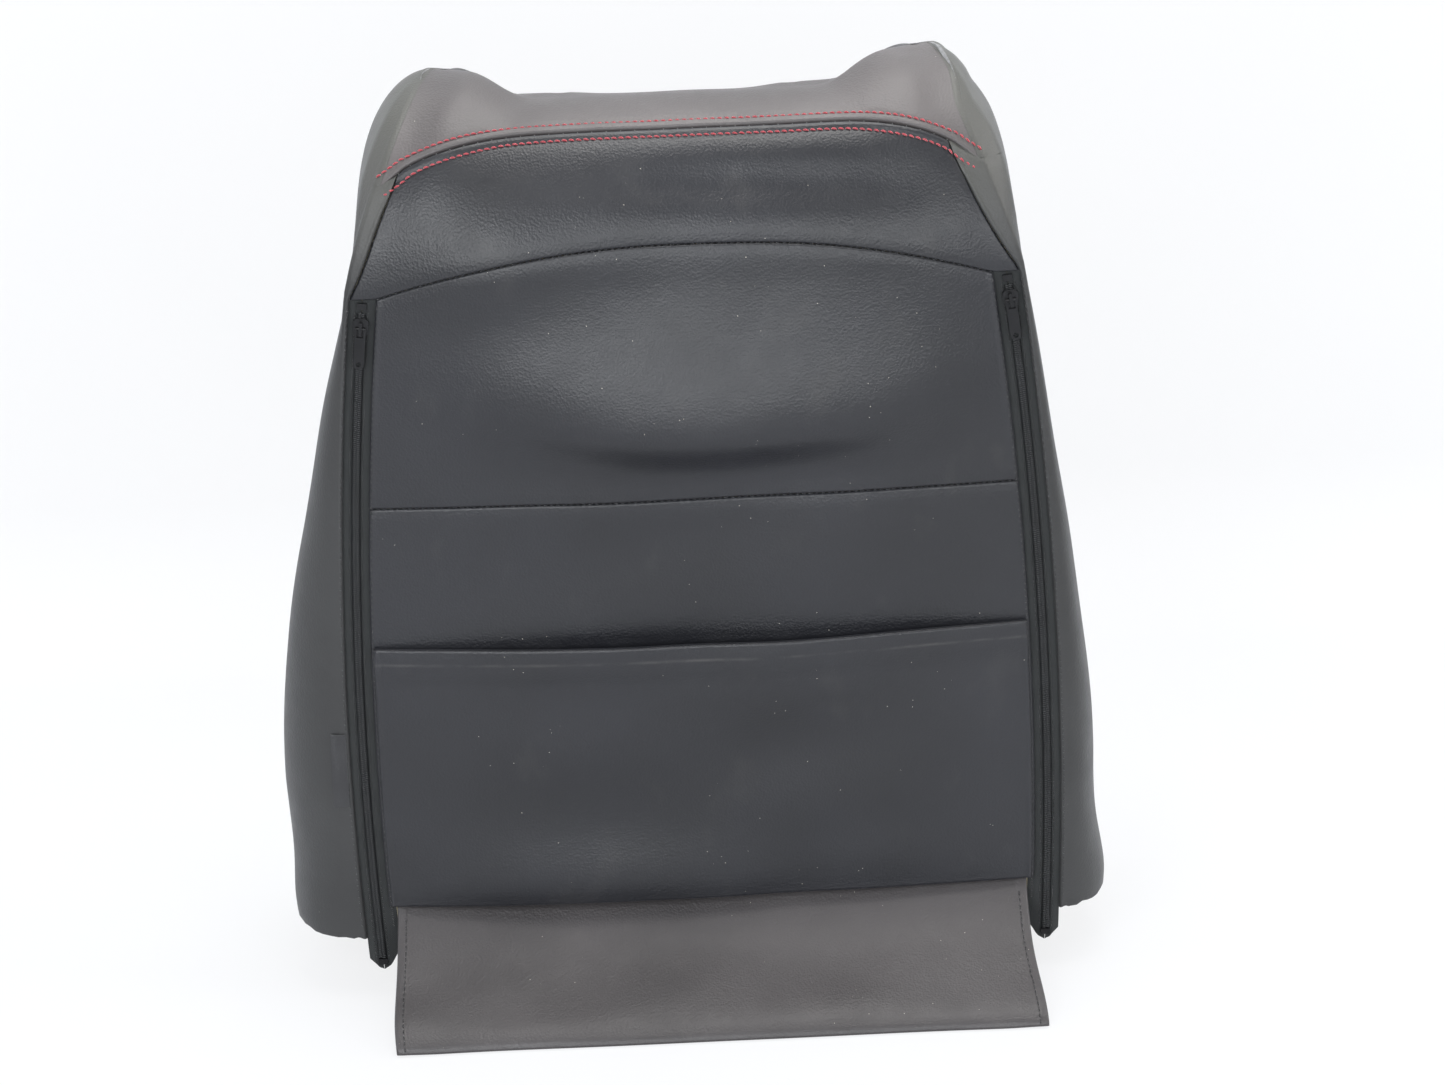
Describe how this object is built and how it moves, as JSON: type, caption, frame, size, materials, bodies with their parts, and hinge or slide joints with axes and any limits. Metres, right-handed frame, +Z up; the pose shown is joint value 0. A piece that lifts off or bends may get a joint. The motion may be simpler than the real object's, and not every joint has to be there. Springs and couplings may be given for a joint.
{
  "type": "seat backrest cushion",
  "caption": "Upholstered seat backrest: zipped leatherette trim cover with map pocket and closing flap over a moulded foam pad, without its steel frame.",
  "frame": {"origin": "on the foam pad's base face, in the middle of the pad", "axes": "+X to the right seen from behind, -Y out of the rear face, +Y towards the occupant, +Z up"},
  "size_m": [0.5536, 0.267, 0.617],
  "materials": {
    "foam": "moulded open-cell foam, matt",
    "crown_leather": "fine-grained leatherette, satin",
    "rear_leather": "fine-grained leatherette, satin",
    "side_leather": "fine-grained leatherette, satin",
    "front_leather": "fine-grained leatherette, satin",
    "insert_leather": "perforated leatherette, matt",
    "flap_leather": "fine-grained leatherette, satin",
    "stiffener": "extruded polypropylene strip",
    "zip_tape": "woven polyester",
    "zip_coil": "moulded coil",
    "zip_metal": "moulded stops",
    "zip_slider": "black lacquered die casting",
    "tag": "woven ribbon, plain",
    "wire": "drawn steel wire",
    "listing": "non-woven strip"
  },
  "bodies": {
    "cover": {"foam_pad": "foam", "crown_panel": "crown_leather", "rear_upper_panel": "rear_leather", "rear_middle_panel": "rear_leather", "rear_lower_panel": "rear_leather", "left_side_panel": "side_leather", "right_side_panel": "side_leather", "left_bolster_panel": "front_leather", "right_bolster_panel": "front_leather", "front_insert_upper": "insert_leather", "front_insert_middle": "insert_leather", "front_insert_lower": "insert_leather", "left_zip_inner_tape": "zip_tape", "right_zip_inner_tape": "zip_tape", "left_zip_outer_tape": "zip_tape", "right_zip_outer_tape": "zip_tape", "left_zip_coil": "zip_coil", "right_zip_coil": "zip_coil", "zip_end_stops": "zip_metal", "side_tag": "tag", "left_foam_wire": "wire", "right_foam_wire": "wire", "left_cover_wire": "wire", "right_cover_wire": "wire", "left_listing_strip": "listing", "right_listing_strip": "listing", "hog_rings": "wire"},
    "pocket": {"pocket_panel": "rear_leather"},
    "flap": {"closing_flap": "flap_leather", "flap_edge_strip": "stiffener"},
    "left_slider": {"left_zip_slider": "zip_slider"},
    "right_slider": {"right_zip_slider": "zip_slider"},
    "left_pull": {"left_zip_pull": "zip_slider"},
    "right_pull": {"right_zip_pull": "zip_slider"}
  },
  "joints": [
    {"name": "flap_hinge", "type": "hinge", "parent": "cover", "child": "flap", "pos_m": [0, -0.087, 0.0658], "axis": [1, 0, 0], "range_deg": [-75, 60]},
    {"name": "pocket_gape", "type": "hinge", "parent": "cover", "child": "pocket", "pos_m": [0, -0.092, 0.068], "axis": [1, 0, 0], "range_deg": [0, 8], "stiffness_Nm_per_rad": 2},
    {"name": "left_slider_travel", "type": "hinge", "parent": "cover", "child": "left_slider", "pos_m": [2.46, -0.084, 0.15], "axis": [0, -1, 0], "range_deg": [0, 9.3]},
    {"name": "right_slider_travel", "type": "hinge", "parent": "cover", "child": "right_slider", "pos_m": [-2.46, -0.084, 0.15], "axis": [0, 1, 0], "range_deg": [0, 9.3]},
    {"name": "left_pull_swing", "type": "hinge", "parent": "left_slider", "child": "left_pull", "pos_m": [-0.2084, -0.0861, 0.474], "axis": [-0.9927, 0, 0.1205], "range_deg": [0, 150]},
    {"name": "right_pull_swing", "type": "hinge", "parent": "right_slider", "child": "right_pull", "pos_m": [0.2084, -0.0861, 0.474], "axis": [-0.9927, 0, -0.1205], "range_deg": [0, 150]}
  ]
}
